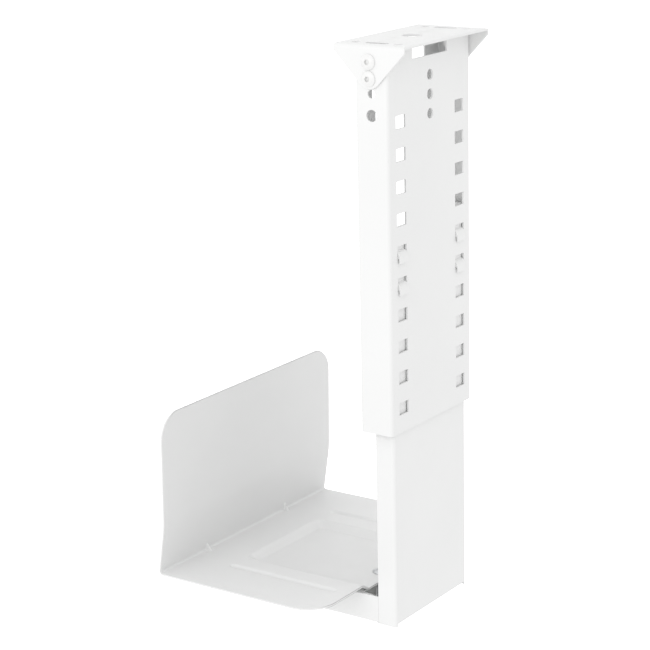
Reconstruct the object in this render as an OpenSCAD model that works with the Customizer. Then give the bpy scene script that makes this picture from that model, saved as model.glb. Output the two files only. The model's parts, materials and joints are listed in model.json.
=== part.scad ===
// Under-desk computer holder: a slotted channel hangs from a desk plate, a second
// channel hooks into its slots, and a tray with a side panel slides on the foot.
// Millimetres. Origin at the centre of the desk plate's top face, +Z up, +X away
// from the computer.

/* [Desk plate] */
// Width of the desk plate, along X
plate_w = 63; // [58:1:80]
// Thickness of the desk plate and its ears
plate_t = 2; // [1.5:0.5:3]
// Drop of the ear tips below the desk face
ear_drop = 33; // [32:1:38]
// Spacing of the desk screw holes along X
desk_hole_dx = 37; // [34:1:42]
// Spacing of the desk screw holes along Y
desk_hole_dy = 98; // [90:1:100]

/* [Outer column] */
// Width of the outer column, along Y
outer_w = 119.5; // [116:0.5:130]
// Depth of the outer column, along X
outer_d = 29.5; // [27:0.5:32]
// Width of the return lips along the back of the outer column
lip_w = 26; // [24:0.5:27]
// Sheet thickness of both columns, the foot and the tray
sheet_t = 1.5; // [1.2:0.1:1.8]
// Number of slot rows
slot_rows = 10; // [8:1:10]
// Pitch of the slot rows
slot_pitch = 25; // [24:0.5:25]
// Width of a slot
slot_w = 13; // [13:0.5:15]
// Height of a slot
slot_h = 10; // [10:0.5:13]

/* [Inner column] */
// Height from the desk face to the underside of the foot
total_h = 466; // [458:1:483]
// Width of the inner column and the foot, along Y
inner_w = 108.5; // [102:0.5:110]
// Depth of the inner column, along X
inner_d = 17; // [14.5:0.5:20]
// Length of the inner column
inner_len = 326.5; // [306:0.5:330]
// Slot row that takes the upper pair of hooks
hook_row = 5; // [3:1:7]

/* [Foot] */
// Length of the foot channel, along X
foot_len = 131; // [125:1:150]
// Height of the foot channel
foot_h = 23; // [22:0.5:24]
// Travel of the tray
tray_travel = 70; // [40:5:75]

/* [Tray] */
// Length of the tray, along Y
tray_len = 238; // [180:2:300]
// Width of the tray from the panel to its free edge, along X
tray_w = 156.5; // [150:0.5:190]
// Height of the side panel above the tray
panel_h = 136.5; // [90:0.5:200]
// Depth of the pressed recess in the tray
recess_depth = 5; // [4:0.5:5.5]

/* [Hidden] */
$fn = 64;
eps = 1;

white = [0.93, 0.93, 0.92];
zinc = [0.78, 0.79, 0.80];

// Columns
web_x = 15.5;
column_gap = 0.8;
bend_r = 3;
outer_top = -plate_t - 1.2;
outer_bottom = -303.5;
slot_y = 42.5;
first_row_z = -59;
lip_relief = 4.3;
lip_relief_z = -48;
inner_x = web_x - sheet_t - column_gap;
foot_z = -total_h;
web_lift = 3;
ear_out_w = outer_w + 2 * plate_t;
ear_tip_r = 11;

// Fasteners, M6 button head screws with hex nuts
m6_r = 3;
m6_hole_r = 3.3;
m6_head_r = 6;
m6_head_h = 2.6;
m6_rim = 0.8;
m6_key = 4;
m6_nut_af = 10;
m6_nut_h = 5;
washer_r = 9;
washer_t = 1.6;
ear_screw_z = [-12.5, -25.2];

// Hooks
hook_w = 12;
hook_drop = 3.8;
hook_out = web_x + column_gap + sheet_t;

// Tray and its rail
tray_edge_x = -18.5;
panel_x = tray_edge_x - tray_w;
tray_z = foot_z + foot_h + 1.3 + recess_depth;
tray_corner_r = 25;
panel_corner_r = 22;
press_r = 2;
knee_z = 41.3;
knee_dx = 6.6;
top_dx = 8.5;
recess_w = 106;
recess_run = 8;
recess_x = panel_x + 38;
recess_grow = sheet_t * tan(atan(recess_depth / recess_run) / 2);
groove_y = 73.5;
groove_w = 8;
groove_depth = 1.5;
rail_x = [recess_x + 8, tray_edge_x - 2.5];
rail_w = inner_w - 2 * bend_r - 0.2;
clamp_x = -30;
clamp_y = 11.5;

function slot_z(row) = first_row_z - (row - 1) * slot_pitch;
function polar(r, a) = [r * cos(a), r * sin(a)];

// A flat shape with its two corners at x = 0 rounded; it runs d towards -X.
module rounded_end(w, d, r) {
    translate([-d, -w / 2]) square([d - r, w]);
    translate([-d, r - w / 2]) square([d, w - 2 * r]);
    for (s = [-1, 1]) translate([-r, s * (w / 2 - r)]) circle(r);
}

// A flat shape with all four corners rounded; it runs d towards -X.
module rounded_box(w, d, r) {
    translate([-d, r - w / 2]) square([d, w - 2 * r]);
    translate([r - d, -w / 2]) square([d - 2 * r, w]);
    for (x = [-r, r - d]) for (s = [-1, 1]) translate([x, s * (w / 2 - r)]) circle(r);
}

// A bent channel section, web at x = 0, open towards -X.
module channel_section(w, d, t, r) {
    difference() {
        rounded_end(w, d, r);
        translate([-t, 0]) rounded_end(w - 2 * t, d + eps, r - t);
    }
}

// A channel section whose open side is partly closed by two return lips.
module lipped_section(w, d, t, r, lip) {
    difference() {
        rounded_box(w, d, r);
        translate([-t, 0]) rounded_box(w - 2 * t, d - 2 * t, r - t);
        translate([-d - eps, lip - w / 2]) square([t + 2 * eps, w - 2 * lip]);
    }
}

// Turns a section drawn in XY so that its X runs up Z and its length along X.
module along_x(x0, x1, up = 1) {
    translate([(x0 + x1) / 2, 0, 0])
        rotate([0, -90, 0])
            linear_extrude(x1 - x0, center = true) scale([up, 1]) children();
}

// Turns a section drawn as XZ so that its length runs along Y.
module along_y(length) {
    rotate([90, 0, 0]) linear_extrude(length, center = true) children();
}

module obround(length, w, h) {
    cube([length - w, w, h], center = true);
    for (s = [-1, 1]) translate([s * (length - w) / 2, 0, 0]) cylinder(h, r = w / 2, center = true);
}

// The round bottom of a pressed groove; its crown lies d below z = 0.
module groove(length, w, d, grow = 0) {
    r = (w * w / 4 + d * d) / (2 * d);
    translate([0, 0, r - d]) {
        rotate([0, 90, 0]) cylinder(length - w, r = r + grow, center = true);
        for (s = [-1, 1]) translate([s * (length - w) / 2, 0, 0]) rotate([0, -90 * s, 0]) sphere(r + grow);
    }
}

// A low button head screw pointing down, seat at z = 0.
module button_screw(length) {
    crown = m6_head_h - m6_rim;
    dome_r = (m6_head_r * m6_head_r + crown * crown) / (2 * crown);
    difference() {
        union() {
            translate([0, 0, -length]) cylinder(length + 0.5, r = m6_r);
            intersection() {
                translate([0, 0, m6_head_h - dome_r]) sphere(dome_r);
                cylinder(m6_head_h, r = m6_head_r);
            }
        }
        translate([0, 0, m6_head_h - 2]) cylinder(3, d = m6_key / cos(30), $fn = 6);
    }
}

// A hex nut hanging from z = 0.
module hex_nut() {
    translate([0, 0, -m6_nut_h]) difference() {
        cylinder(m6_nut_h, d = m6_nut_af / cos(30), $fn = 6);
        translate([0, 0, -eps]) cylinder(m6_nut_h + 2 * eps, r = m6_r + 0.03);
    }
}

module at_ear_screws() {
    for (s = [-1, 1]) for (z = ear_screw_z)
        translate([0, s * ear_out_w / 2, z]) rotate([-s * 90, 0, 0]) children();
}

module at_clamps() {
    for (s = [-1, 1]) translate([clamp_x, s * clamp_y, 0]) children();
}

// A triangle with a rounded tip, wide end up, drawn as XZ.
module ear_outline() {
    corner = [plate_w / 2, -5];
    c = [0, ear_tip_r - ear_drop];
    a = atan2(corner[1] - c[1], corner[0]) - acos(ear_tip_r / norm(corner - c));
    tip = [for (i = [0 : 16]) c + polar(ear_tip_r, a - (180 + 2 * a) * i / 16)];
    polygon(concat([[corner[0], eps], corner], tip, [[-corner[0], corner[1]], [-corner[0], eps]]));
}

module mounting_bracket() color(white) {
    difference() {
        union() {
            intersection() {
                along_x(-plate_w / 2, plate_w / 2)
                    channel_section(ear_out_w, ear_drop, plate_t, plate_t + 1);
                along_y(ear_out_w + 2 * eps) ear_outline();
            }
            for (s = [-1, 1]) intersection() {
                translate([0, s * 28, 0]) rotate(90) groove(32, 12, 1, plate_t);
                translate([0, s * 28, -plate_t]) cube([40, 40, 2 * plate_t], center = true);
            }
        }
        for (s = [-1, 1]) translate([0, s * 28, 0]) rotate(90) groove(32, 12, 1);
        for (x = [-1, 1]) for (y = [-1, 1])
            translate([x * desk_hole_dx / 2, y * desk_hole_dy / 2, -plate_t - eps])
                cylinder(plate_t + 2 * eps, r = 3.5);
        for (s = [-1, 1]) translate([0, s * desk_hole_dy / 2, 0]) obround(20, 7, 3 * plate_t);
        translate([0, 0, -2 * plate_t]) cylinder(3 * plate_t, r = 8);
        at_ear_screws() cylinder(3 * plate_t, r = m6_hole_r, center = true);
    }
}

module outer_column() color(white) {
    difference() {
        translate([web_x, 0, outer_bottom])
            linear_extrude(outer_top - outer_bottom)
                lipped_section(outer_w, outer_d, sheet_t, bend_r, lip_w);
        for (row = [1 : slot_rows]) for (s = [-1, 1])
            translate([web_x, s * slot_y, slot_z(row)])
                cube([4 * sheet_t, slot_w, slot_h], center = true);
        for (z = [-29, -44, -59]) translate([web_x, 0, z]) rotate([0, 90, 0])
            cylinder(4 * sheet_t, r = 4.25, center = true);
        translate([web_x, 0, -10.2]) cube([4 * sheet_t, 50, 8], center = true);
        translate([1, 0, -36.7]) rotate([90, 0, 0]) cylinder(2 * outer_w, r = 3.2, center = true);
        translate([1, 0, -53.1]) rotate([90, 0, 0]) cylinder(2 * outer_w, r = 4.6, center = true);
        at_ear_screws() cylinder(20, r = m6_hole_r, center = true);
        translate([web_x - outer_d, 0, lip_relief_z + 50])
            cube([4 * sheet_t, outer_w - 2 * (lip_w - lip_relief), 100], center = true);
    }
}

module bracket_screws() color(zinc) {
    at_ear_screws() button_screw(12);
}

module bracket_nuts() color(zinc) {
    at_ear_screws() translate([0, 0, -plate_t - sheet_t]) hex_nut();
}

// The outline of a hook from the side; z = 0 is the lower edge of its slot.
module hook_outline() {
    polygon([
        [inner_x - sheet_t, 6.4],
        [inner_x, 6.4],
        [web_x + 0.2, 4.8],
        [hook_out - 0.4, 1.6],
        [hook_out, -1],
        [hook_out, -hook_drop],
        [hook_out - sheet_t, -hook_drop],
        [hook_out - sheet_t, 0.1],
        [inner_x - sheet_t, 2.2]
    ]);
}

module inner_column() color(white) {
    difference() {
        translate([inner_x, 0, foot_z])
            linear_extrude(inner_len)
                channel_section(inner_w, inner_d, sheet_t, bend_r);
        for (row = [hook_row, hook_row + 1]) for (s = [-1, 1])
            translate([inner_x, s * slot_y, slot_z(row) - slot_h / 2])
                translate([0, 0, -1.1]) cube([4 * sheet_t, hook_w + 1, 6.6], center = true);
        translate([inner_x, 0, foot_z])
            cube([4 * sheet_t, inner_w - 2 * bend_r, 2 * web_lift], center = true);
    }
    for (row = [hook_row, hook_row + 1]) for (s = [-1, 1])
        translate([0, s * slot_y, slot_z(row) - slot_h / 2])
            along_y(hook_w) hook_outline();
}

module foot_channel() color(white) {
    x1 = inner_x - inner_d;
    difference() {
        union() {
            translate([0, 0, foot_z])
                along_x(x1 - foot_len, x1, -1)
                    channel_section(inner_w, foot_h, sheet_t, bend_r);
            translate([x1 - eps, -(inner_w / 2 - sheet_t), foot_z])
                cube([inner_d - sheet_t - 1.6 + eps, inner_w - 2 * sheet_t, sheet_t]);
        }
        for (s = [-1, 1])
            translate([clamp_x - tray_travel / 2, s * clamp_y, foot_z])
                obround(tray_travel + 2 * m6_hole_r + 0.6, 2 * m6_hole_r, 4 * sheet_t);
    }
}

// The flat and the side panel in one bent sheet, seen from the side.
module tray_section() {
    lean = atan2(knee_dx, knee_z);
    upper_lean = atan2(top_dx - knee_dx, panel_h - knee_z);
    c = [panel_x + press_r / tan(45 - lean / 2), tray_z + press_r];
    turn = [-90 : -(90 + lean) / 8 : -180.1 - lean];
    knee = [panel_x + knee_dx, tray_z + knee_z];
    top = [panel_x + top_dx, tray_z + panel_h];
    back = [for (a = turn) c + polar(press_r + sheet_t, a)];
    polygon(concat(
        [[tray_edge_x, tray_z - sheet_t], [tray_edge_x, tray_z]],
        [for (a = turn) c + polar(press_r, a)],
        [knee, top, top - [sheet_t, 0], knee + polar(sheet_t, 180 - (lean + upper_lean) / 2)],
        [for (i = [len(back) - 1 : -1 : 0]) back[i]]
    ));
}

// The tray's outline from above: square at the panel, rounded at the free edge.
module tray_outline() {
    translate([0, 0, foot_z]) linear_extrude(total_h)
        translate([tray_edge_x, 0]) rounded_end(tray_len, tray_w + 20, tray_corner_r);
}

// The panel's outline from the side of the tray, rounded at its top corners.
module panel_outline() {
    translate([0, 0, tray_z + panel_h])
        along_x(panel_x - 20, tray_edge_x + 20)
            rounded_end(tray_len, panel_h + 30, panel_corner_r);
}

// The pressed recess: sloped on three sides, open at the tray's free edge.
module recess(grow, drop) {
    b = recess_depth;
    translate([0, 0, tray_z - drop]) intersection() {
        along_y(tray_len) polygon([
            [recess_x - grow - recess_run / b, 1],
            [recess_x - grow + recess_run, -b],
            [tray_edge_x + 40, -b],
            [tray_edge_x + 40, 1]
        ]);
        along_x(recess_x - 10, tray_edge_x + 40) polygon([
            [1, recess_w / 2 + grow + recess_run / b],
            [-b, recess_w / 2 + grow - recess_run],
            [-b, -(recess_w / 2 + grow - recess_run)],
            [1, -(recess_w / 2 + grow + recess_run / b)]
        ]);
    }
}

module grooves(grow) {
    x0 = recess_x;
    x1 = tray_edge_x - 12;
    for (s = [-1, 1]) translate([(x0 + x1) / 2, s * groove_y, tray_z])
        groove(x1 - x0, groove_w, groove_depth, grow);
}

module tray() color(white) {
    difference() {
        intersection() {
            union() {
                intersection() {
                    along_y(tray_len) tray_section();
                    panel_outline();
                }
                intersection() {
                    union() {
                        recess(recess_grow, sheet_t);
                        grooves(sheet_t);
                    }
                    translate([panel_x + 4, -tray_len / 2, tray_z - 10])
                        cube([tray_w + 10, tray_len, 10 - sheet_t / 2]);
                }
                for (s = [-1, 1]) translate([panel_x, s * 56, tray_z])
                    along_y(4) polygon([[0, -0.7], [7.5, -0.7], [7.5, 0], [1.2, 7.5], [0, 7.5]]);
            }
            tray_outline();
        }
        recess(0, 0);
        grooves(0);
        at_clamps() translate([0, 0, tray_z - 20]) cylinder(20, r = m6_hole_r);
    }
}

module tray_rail() color(white) {
    rail_top = tray_z - recess_depth - sheet_t;
    rail_bottom = foot_z + sheet_t;
    difference() {
        translate([0, 0, rail_top])
            along_x(rail_x[0], rail_x[1])
                channel_section(rail_w, rail_top - rail_bottom, sheet_t, bend_r);
        at_clamps() translate([0, 0, rail_top]) cylinder(4 * sheet_t, r = m6_hole_r, center = true);
    }
}

module clamp_screws() color(zinc) {
    at_clamps() translate([0, 0, tray_z - recess_depth]) button_screw(30);
}

module clamp_washers() color(zinc) {
    at_clamps() translate([0, 0, foot_z - washer_t]) difference() {
        cylinder(washer_t, r = washer_r);
        translate([0, 0, -eps]) cylinder(washer_t + 2 * eps, r = m6_hole_r);
    }
}

module clamp_nuts() color(zinc) {
    at_clamps() translate([0, 0, foot_z - washer_t]) hex_nut();
}

mounting_bracket();
outer_column();
bracket_screws();
bracket_nuts();
inner_column();
foot_channel();
tray();
tray_rail();
clamp_screws();
clamp_washers();
clamp_nuts();
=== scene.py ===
import json
import math

import bpy
from mathutils import Matrix, Vector


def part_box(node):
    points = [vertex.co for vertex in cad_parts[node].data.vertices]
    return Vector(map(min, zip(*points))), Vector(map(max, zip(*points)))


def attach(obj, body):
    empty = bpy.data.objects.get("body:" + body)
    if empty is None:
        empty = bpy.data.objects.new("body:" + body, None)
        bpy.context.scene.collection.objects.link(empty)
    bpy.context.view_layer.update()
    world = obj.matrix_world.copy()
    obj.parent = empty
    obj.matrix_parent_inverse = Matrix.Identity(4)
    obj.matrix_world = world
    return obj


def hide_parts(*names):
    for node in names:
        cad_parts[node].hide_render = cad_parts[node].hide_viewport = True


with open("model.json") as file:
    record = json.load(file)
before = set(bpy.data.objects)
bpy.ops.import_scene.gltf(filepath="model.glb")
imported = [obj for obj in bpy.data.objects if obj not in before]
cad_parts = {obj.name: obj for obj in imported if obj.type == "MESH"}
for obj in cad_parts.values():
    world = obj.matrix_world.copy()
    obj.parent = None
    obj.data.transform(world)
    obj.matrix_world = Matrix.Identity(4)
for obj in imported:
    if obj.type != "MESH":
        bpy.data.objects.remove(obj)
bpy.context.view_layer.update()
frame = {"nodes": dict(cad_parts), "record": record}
nodes = frame["nodes"]
scene = bpy.context.scene


# ---------------------------------------------------------------- materials

# Sockets of the Mix node that carry colours
MIX_COLOR_A, MIX_COLOR_B, MIX_COLOR_RESULT = 6, 7, 2


class Nodes:
    """A material's node tree, with its Principled shader and short ways to add nodes."""

    def __init__(self, name, **settings):
        self.mat = bpy.data.materials.new(name)
        self.mat.use_nodes = True
        self.tree = self.mat.node_tree
        self.tree.nodes.clear()
        out = self.add("ShaderNodeOutputMaterial")
        self.shader = self.add("ShaderNodeBsdfPrincipled")
        self.link(self.shader.outputs["BSDF"], out.inputs["Surface"])
        self.coord = self.add("ShaderNodeTexCoord").outputs["Object"]
        for socket, value in settings.items():
            self.shader.inputs[socket.replace("_", " ")].default_value = value

    def add(self, kind):
        return self.tree.nodes.new(kind)

    def link(self, a, b):
        self.tree.links.new(a, b)

    def feed(self, value, socket):
        """Links a value to one of the shader's sockets."""
        self.link(value, self.shader.inputs[socket])

    def stretched(self, scale):
        """Object coordinates scaled along each axis."""
        m = self.add("ShaderNodeMapping")
        m.inputs["Scale"].default_value = scale
        self.link(self.coord, m.inputs["Vector"])
        return m.outputs["Vector"]

    def noise(self, scale, detail=2.0, rough=0.5, vector=None):
        n = self.add("ShaderNodeTexNoise")
        n.inputs["Scale"].default_value = scale
        n.inputs["Detail"].default_value = detail
        n.inputs["Roughness"].default_value = rough
        self.link(vector or self.coord, n.inputs["Vector"])
        return n.outputs["Fac"]

    def remap(self, value, a, b, lo=0.3, hi=0.7):
        """Maps lo to hi, where most of a noise lies, to a to b."""
        m = self.add("ShaderNodeMapRange")
        for socket, v in zip(("From Min", "From Max", "To Min", "To Max"), (lo, hi, a, b)):
            m.inputs[socket].default_value = v
        self.link(value, m.inputs["Value"])
        return m.outputs["Result"]

    def mix(self, factor, a, b):
        """Blends two colours by a factor."""
        m = self.add("ShaderNodeMix")
        m.data_type = "RGBA"
        self.link(factor, m.inputs["Factor"])
        m.inputs[MIX_COLOR_A].default_value = (*a, 1)
        m.inputs[MIX_COLOR_B].default_value = (*b, 1)
        return m.outputs[MIX_COLOR_RESULT]

    def bump(self, heights):
        """Stacks (height, strength, distance) bumps on the shader's normal."""
        normal = None
        for height, strength, distance in heights:
            b = self.add("ShaderNodeBump")
            b.inputs["Strength"].default_value = strength
            b.inputs["Distance"].default_value = distance
            self.link(height, b.inputs["Height"])
            if normal:
                self.link(normal, b.inputs["Normal"])
            normal = b.outputs["Normal"]
        self.feed(normal, "Normal")


def powder_coat(name, low, high):
    """Satin powder coat: slight tone variation, a soft waviness and a fine orange peel."""
    m = Nodes(name, IOR=1.5)
    m.feed(m.mix(m.remap(m.noise(9, 3), 0, 1), low, high), "Base Color")
    m.feed(m.remap(m.noise(60, 3), 0.36, 0.5), "Roughness")
    waviness = m.noise(140, 1)
    orange_peel = m.noise(750, 2, 0.6)
    m.bump([(waviness, 0.10, 0.0006), (orange_peel, 0.22, 0.00025)])
    return m.mat


def screw_paint(name, low, high):
    """Semi-gloss paint on small heads, with finer variation."""
    m = Nodes(name, IOR=1.5)
    m.feed(m.mix(m.remap(m.noise(300, 2), 0, 1), low, high), "Base Color")
    m.feed(m.remap(m.noise(500, 2), 0.28, 0.42), "Roughness")
    m.bump([(m.noise(900, 1), 0.15, 0.0002)])
    return m.mat


def zinc_plate(name, low, high):
    """Bright zinc plating with short streaks across Z."""
    m = Nodes(name, Metallic=1.0)
    streak = m.noise(300, 3, 0.6, m.stretched((1, 1, 9)))
    m.feed(m.mix(m.remap(streak, 0, 1), low, high), "Base Color")
    m.feed(m.remap(m.noise(700, 3), 0.22, 0.42), "Roughness")
    m.bump([(streak, 0.12, 0.0001), (m.noise(1500, 2), 0.08, 0.0001)])
    return m.mat


white = powder_coat("powder_coat_white", (0.752, 0.754, 0.752), (0.774, 0.776, 0.773))
# The tray's coat is the same white paint made about 3% darker: painted shade for the shade the tray lies
# in.
tray_coat_painted_shade = powder_coat("powder_coat_tray_painted_shade", (0.730, 0.732, 0.730), (0.751, 0.753, 0.750))
screw_white = screw_paint("screw_paint_white", (0.74, 0.74, 0.735), (0.78, 0.78, 0.775))
zinc = zinc_plate("zinc_plate", (0.52, 0.53, 0.54), (0.72, 0.73, 0.74))
MATERIAL_OF = {"white_steel": white, "white_screw": screw_white, "zinc_steel": zinc}


# ---------------------------------------------------------------- CAD pieces

# Edge rounding in metres; the column's many cutouts are only split at their edges
SHEET_EDGE = 0.00035
EDGE_OF = {
    "outer_column": 0,
    "bracket_screws": 0.00012,
    "bracket_nuts": 0.0002,
    "clamp_screws": 0.00012,
    "clamp_washers": 0.0002,
    "clamp_nuts": 0.0002,
}


def weld(o):
    """Joins the separate faces of a CAD mesh."""
    w = o.modifiers.new("weld", "WELD")
    w.merge_threshold = 0.00002


def soften(o, width, angle=35):
    """Rounds edges sharper than angle, or only splits them where width is 0."""
    if width:
        b = o.modifiers.new("bevel", "BEVEL")
        b.limit_method = "ANGLE"
        b.angle_limit = math.radians(angle)
        b.width = width
        b.segments = 2
        b.use_clamp_overlap = False
        b.loop_slide = False
        b.miter_outer = "MITER_ARC"
    else:
        e = o.modifiers.new("edges", "EDGE_SPLIT")
        e.split_angle = math.radians(angle)
    n = o.modifiers.new("normals", "WEIGHTED_NORMAL")
    n.mode = "FACE_AREA"
    n.weight = 60
    n.keep_sharp = False


def finish_node(part):
    """Gives a CAD node its material and soft edges; the tray is replaced further down."""
    o = nodes[part["node"]]
    o.data.materials.clear()
    o.data.materials.append(MATERIAL_OF[part["material_slot"]])
    for p in o.data.polygons:
        p.material_index = 0
        p.use_smooth = True
    if part["node"] != "tray":
        weld(o)
        soften(o, EDGE_OF.get(part["node"], SHEET_EDGE))


for part in frame["record"]["subparts"]:
    finish_node(part)


# ---------------------------------------------------------------- tray


def steps(a, b, most):
    """Even values from a to b, the end left out, no further apart than most."""
    n = max(1, math.ceil(abs(b - a) / most - 1e-9))
    return [a + (b - a) * i / n for i in range(n)]


def runs(start, marks):
    """Values from start through each (end, most) mark, the last end left out."""
    values = []
    for end, most in marks:
        values += steps(start, end, most)
        start = end
    return values


def softened(x, w):
    """0 below zero and x above it, with the corner rounded over a width of 2w."""
    return 0.0 if x <= -w else x if x >= w else (x + w) ** 2 / (4 * w)


def bump_shape(x, flat, edge):
    """1 within flat of zero, falling smoothly to 0 at edge."""
    t = min(1.0, max(0.0, (edge - abs(x)) / (edge - flat)))
    return t * t * (3 - 2 * t)


def corner_cut(k, r):
    """How far a round corner of radius r moves an edge inwards, k past where its arc starts."""
    return math.sqrt(max(0.0, r**2 - k * k)) - r


class Tray:
    """The pressed tray and its side panel as one sheet, in millimetres, between the CAD tray's corners."""

    THICKNESS = 1.5
    EDGE_ROUNDING = 0.4
    WIDTH = 156.5
    PANEL_HEIGHT = 136.5

    # Corners of the flat's free edge and of the panel, which squeeze only the outer columns
    CORNER_R = 25.0
    PANEL_CORNER_R = 22.0
    SQUEEZE_FROM = 82.0

    # The bend between flat and panel, the knee where the panel's lean changes, and its top
    PRESS_R = 2.0
    KNEE_BLEND = 7.0
    KNEE_X, KNEE_Z = 6.6, 41.3
    HEAD_X = 8.5

    # The recess in the flat: its start, half width, the run and depth of its slope, its corners
    RECESS_START = 38
    RECESS_HALF = 53.0
    RECESS_RUN = 8.0
    RECESS_DEPTH = 5.0
    RECESS_CORNER_R = 9.0
    RECESS_RIM, RECESS_FOOT = 0.9, 0.7

    # Two round grooves beside the recess
    GROOVE_Y = 73.5
    GROOVE_R = 4.2
    GROOVE_DEPTH = 1.5
    GROOVE_START, GROOVE_END = 4, 16
    GROOVE_POWER = 1.6

    # Two stiffening ribs across the bend
    RIB_Y = 56.0
    RIB_REACH = 5.5
    RIB_CREST, RIB_EDGE = 0.4, 2.0

    # Mesh spacing on plain stretches and where the shape is pressed
    COARSE, MEDIUM, FINE, FINEST = 4, 3, 0.6, 0.5
    ARC_STEP = 5
    TOLERANCE = 0.001

    def __init__(self, low, high):
        self.edge = high.x * 1000
        self.half = high.y * 1000
        self.top = high.z * 1000
        self.z = self.top - self.PANEL_HEIGHT
        self.panel = self.edge - self.WIDTH
        self.knee = Vector((self.panel + self.KNEE_X, self.z + self.KNEE_Z))
        self.head = Vector((self.panel + self.HEAD_X, self.z + self.PANEL_HEIGHT))
        self.recess_x = self.panel + self.RECESS_START
        self.groove_x = (self.recess_x + self.GROOVE_START, self.edge - self.GROOVE_END)

    def on_flat(self, z):
        return z < self.z + self.TOLERANCE

    def flat_stations(self):
        """X of the mesh rows on the flat, from the free edge to the bend."""
        r = self.CORNER_R
        fine_from, fine_to = self.edge - 10, self.edge - 22
        arc = [self.edge - r + r * math.sin(math.radians(a)) for a in range(90, 0, -self.ARC_STEP)]
        near_edge = [x for x in arc if x > fine_from or x < fine_to]
        near_edge += steps(fine_from - 0.5, fine_to, self.FINE)
        return sorted(set(near_edge), reverse=True) + runs(self.edge - r, [
            (self.recess_x + 14, self.COARSE),
            (self.recess_x - 4, self.FINE),
            (self.panel + 10, self.MEDIUM),
            (self.panel + 2.6, self.FINE),
        ])

    def profile(self):
        """Points (x, z) of the inner face from the free edge to the panel's top."""
        lean = math.atan2(self.knee.x - self.panel, self.knee.y - self.z)
        c = Vector((self.panel + self.PRESS_R / math.tan(math.pi / 4 - lean / 2), self.z + self.PRESS_R))
        points = [Vector((x, self.z)) for x in self.flat_stations() if x > c.x]
        for i in range(9):
            a = -math.pi / 2 - (math.pi / 2 + lean) * i / 8
            points.append(c + self.PRESS_R * Vector((math.cos(a), math.sin(a))))

        start = points[-1]
        up = (self.knee - start).normalized()
        on = (self.head - self.knee).normalized()
        blend = self.KNEE_BLEND
        lower = (self.knee - start).length - blend
        for d in runs(0, [(9, self.FINE), (lower, self.COARSE)])[1:]:
            points.append(start + up * d)
        for i in range(9):
            q = i / 8
            points.append(
                (1 - q) ** 2 * (self.knee - up * blend)
                + 2 * q * (1 - q) * self.knee
                + q * q * (self.knee + on * blend)
            )

        upper = (self.head - self.knee).length
        r = self.PANEL_CORNER_R
        arc = [upper - r + r * math.sin(math.radians(a)) for a in range(0, 91, self.ARC_STEP)]
        for d in steps(blend, arc[0], self.COARSE)[1:] + arc:
            points.append(self.knee + on * d)
        return points

    def half_width(self, p):
        """Half of the sheet's width along Y at a point of the profile."""
        w = self.half
        flat_corner = self.edge - self.CORNER_R
        panel_corner = self.top - self.PANEL_CORNER_R
        if self.on_flat(p.y) and p.x > flat_corner:
            w += corner_cut(p.x - flat_corner, self.CORNER_R)
        if p.y > panel_corner:
            w += corner_cut(min(self.PANEL_CORNER_R, p.y - panel_corner), self.PANEL_CORNER_R)
        return w

    def columns(self):
        """Y of the mesh columns, before the outer ones are squeezed into the corners."""
        half = runs(0, [
            (42.5, self.COARSE),
            (61.5, self.FINEST),
            (68, self.MEDIUM),
            (79, self.FINEST),
            (self.SQUEEZE_FROM, self.MEDIUM),
            (self.half, self.MEDIUM),
        ])
        half = sorted(set(half) | {self.half - 0.8, self.half})
        return [-y for y in reversed(half[1:])] + half

    def squeezed(self, y, half_width):
        """Y of a column's point in a row of the given half width."""
        if abs(y) <= self.SQUEEZE_FROM:
            return y
        share = (abs(y) - self.SQUEEZE_FROM) / (self.half - self.SQUEEZE_FROM)
        return math.copysign(self.SQUEEZE_FROM + share * (half_width - self.SQUEEZE_FROM), y)

    def sunk(self, x, y):
        """How far the flat is pressed down at a point."""
        r = self.RECESS_CORNER_R
        a = x - self.recess_x
        b = self.RECESS_HALF - abs(y)
        d = r - math.hypot(max(r - a, 0), max(r - b, 0))
        slope = softened(d, self.RECESS_RIM) - softened(d - self.RECESS_RUN, self.RECESS_FOOT)
        depth = self.RECESS_DEPTH / self.RECESS_RUN * slope
        x0, x1 = self.groove_x
        off = math.hypot(x - min(max(x, x0), x1), abs(y) - self.GROOVE_Y)
        if off < self.GROOVE_R:
            depth += self.GROOVE_DEPTH * (1 - (off / self.GROOVE_R) ** 2) ** self.GROOVE_POWER
        return depth

    def vertices(self, points, columns):
        """Every point of the inner face, in metres, with the recess, grooves and ribs pressed in."""
        run = [0.0]
        for p, q in zip(points, points[1:]):
            run.append(run[-1] + math.hypot(q.x - p.x, q.y - p.y))
        rib_low = Vector((self.panel + self.RIB_REACH, self.z))
        rib_high = next(p for p in points if p.y > self.z + self.RIB_REACH)
        under_rib = [s for p, s in zip(points, run) if p.x <= rib_low.x and p.y <= rib_high.y]
        first, last = under_rib[0], under_rib[-1]
        verts = []
        for point, s in zip(points, run):
            w = self.half_width(point)
            for column in columns:
                y = self.squeezed(column, w)
                p = point.copy()
                if self.on_flat(p.y):
                    p.y -= self.sunk(p.x, y)
                if first < s < last:
                    rib = rib_low.lerp(rib_high, (s - first) / (last - first))
                    p = p.lerp(rib, bump_shape(abs(y) - self.RIB_Y, self.RIB_CREST, self.RIB_EDGE))
                verts.append((p.x / 1000, y / 1000, p.y / 1000))
        return verts

    def build(self, name):
        points, columns = self.profile(), self.columns()
        o = grid_object(name, self.vertices(points, columns), len(points), len(columns))
        mesh = o.data
        for p in mesh.polygons:
            p.use_smooth = True
        on_the_flat = mesh.polygons[len(mesh.polygons) // 8]
        if on_the_flat.normal.z < 0:
            mesh.flip_normals()
        s = o.modifiers.new("sheet", "SOLIDIFY")
        s.thickness = self.THICKNESS / 1000
        s.offset = -1
        s.use_even_offset = True
        soften(o, self.EDGE_ROUNDING / 1000, 60)
        return o


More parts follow.
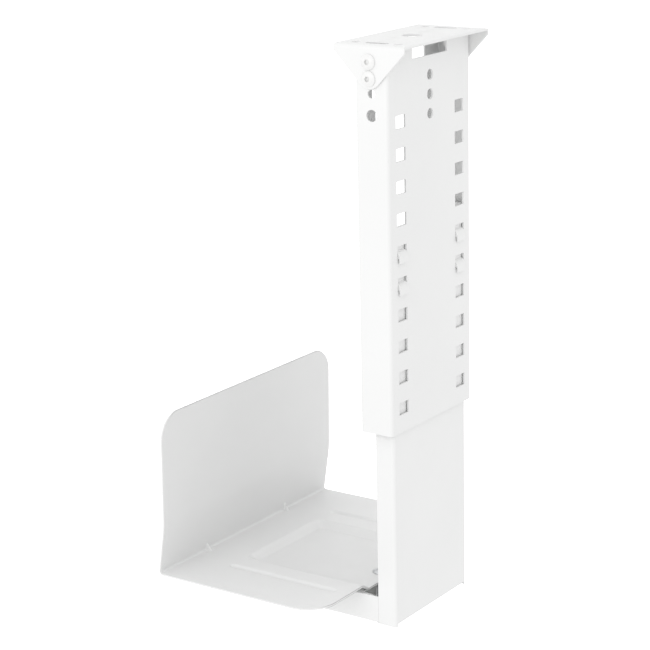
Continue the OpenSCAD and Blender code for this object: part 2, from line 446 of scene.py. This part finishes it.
def grid_object(name, verts, rows, columns):
    """An object of rows by columns of points, joined by quads."""
    faces = [
        (i * columns + j, (i + 1) * columns + j, (i + 1) * columns + j + 1, i * columns + j + 1)
        for i in range(rows - 1)
        for j in range(columns - 1)
    ]
    mesh = bpy.data.meshes.new(name)
    mesh.from_pydata(verts, [], faces)
    mesh.validate()
    mesh.update()
    o = bpy.data.objects.new(name, mesh)
    scene.collection.objects.link(o)
    return o


tray = Tray(*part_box("tray")).build("tray_sheet")
# The tray gets the darker copy of the white coat, which is painted shade.
tray.data.materials.append(tray_coat_painted_shade)
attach(tray, "tray_unit")
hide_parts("tray")


# ---------------------------------------------------------------- stage, light, camera


def studio_floor(size, squares, z):
    """A pale floor under the holder that doesn't tint it from below."""
    at = [i * size / squares - size / 2 for i in range(squares + 1)]
    floor = grid_object("studio_floor", [(x, y, z) for x in at for y in at], squares + 1, squares + 1)
    m = Nodes("studio_floor", Roughness=0.9, Emission_Strength=0.55)
    m.shader.inputs["Emission Color"].default_value = (1, 1, 1, 1)
    m.feed(m.mix(m.noise(3, 2), (0.90, 0.90, 0.90), (0.93, 0.93, 0.93)), "Base Color")
    floor.data.materials.append(m.mat)
    floor.visible_diffuse = False
    floor.visible_glossy = False


def studio_world(strength):
    """Even white light from all around."""
    world = bpy.data.worlds.new("studio")
    scene.world = world
    world.use_nodes = True
    background = world.node_tree.nodes["Background"]
    background.inputs["Color"].default_value = (1, 1, 1, 1)
    background.inputs["Strength"].default_value = strength


def direction(azimuth, elevation):
    """From the object towards an azimuth and elevation in radians; azimuth 0 is the -Y side."""
    return Vector((
        math.sin(azimuth) * math.cos(elevation),
        -math.cos(azimuth) * math.cos(elevation),
        math.sin(elevation),
    ))


def soft_light(name, azimuth, elevation, power):
    """A large soft lamp that faces the object's middle; its angles are in degrees."""
    middle, distance = Vector((-0.03, 0, -0.22)), 2.8
    towards = direction(math.radians(azimuth), math.radians(elevation))
    data = bpy.data.lights.new(name, "AREA")
    data.shape = "DISK"
    data.size = 2.4
    data.energy = power
    o = bpy.data.objects.new(name, data)
    o.location = middle + distance * towards
    o.rotation_mode = "QUATERNION"
    o.rotation_quaternion = (-towards).to_track_quat("-Z", "Y")
    scene.collection.objects.link(o)


def add_camera(place, focal_length, azimuth, elevation, roll):
    """The scene's camera; it looks back along azimuth and elevation, turned by roll, in degrees."""
    back = direction(math.radians(azimuth), math.radians(elevation))
    level_right = (-back).cross(Vector((0, 0, 1))).normalized()
    level_up = level_right.cross(-back)
    c, s = math.cos(math.radians(roll)), math.sin(math.radians(roll))
    right = c * level_right + s * level_up
    up = -s * level_right + c * level_up
    data = bpy.data.cameras.new("camera")
    data.sensor_width = 36
    data.lens = focal_length
    data.clip_start = 0.05
    data.clip_end = 50
    o = bpy.data.objects.new("camera", data)
    o.rotation_mode = "QUATERNION"
    o.location = place
    o.rotation_quaternion = Matrix((right, up, back)).transposed().to_quaternion()
    scene.collection.objects.link(o)
    scene.camera = o


studio_floor(12.0, 8, -0.70)
scene.view_settings.view_transform = "Standard"
scene.view_settings.look = "None"
studio_world(1.08)
soft_light("key", -4, 18, 16)
add_camera((0.841876, -1.334986, 0.207792), 114.385, 34.83972, 15.44454, -1.31393)
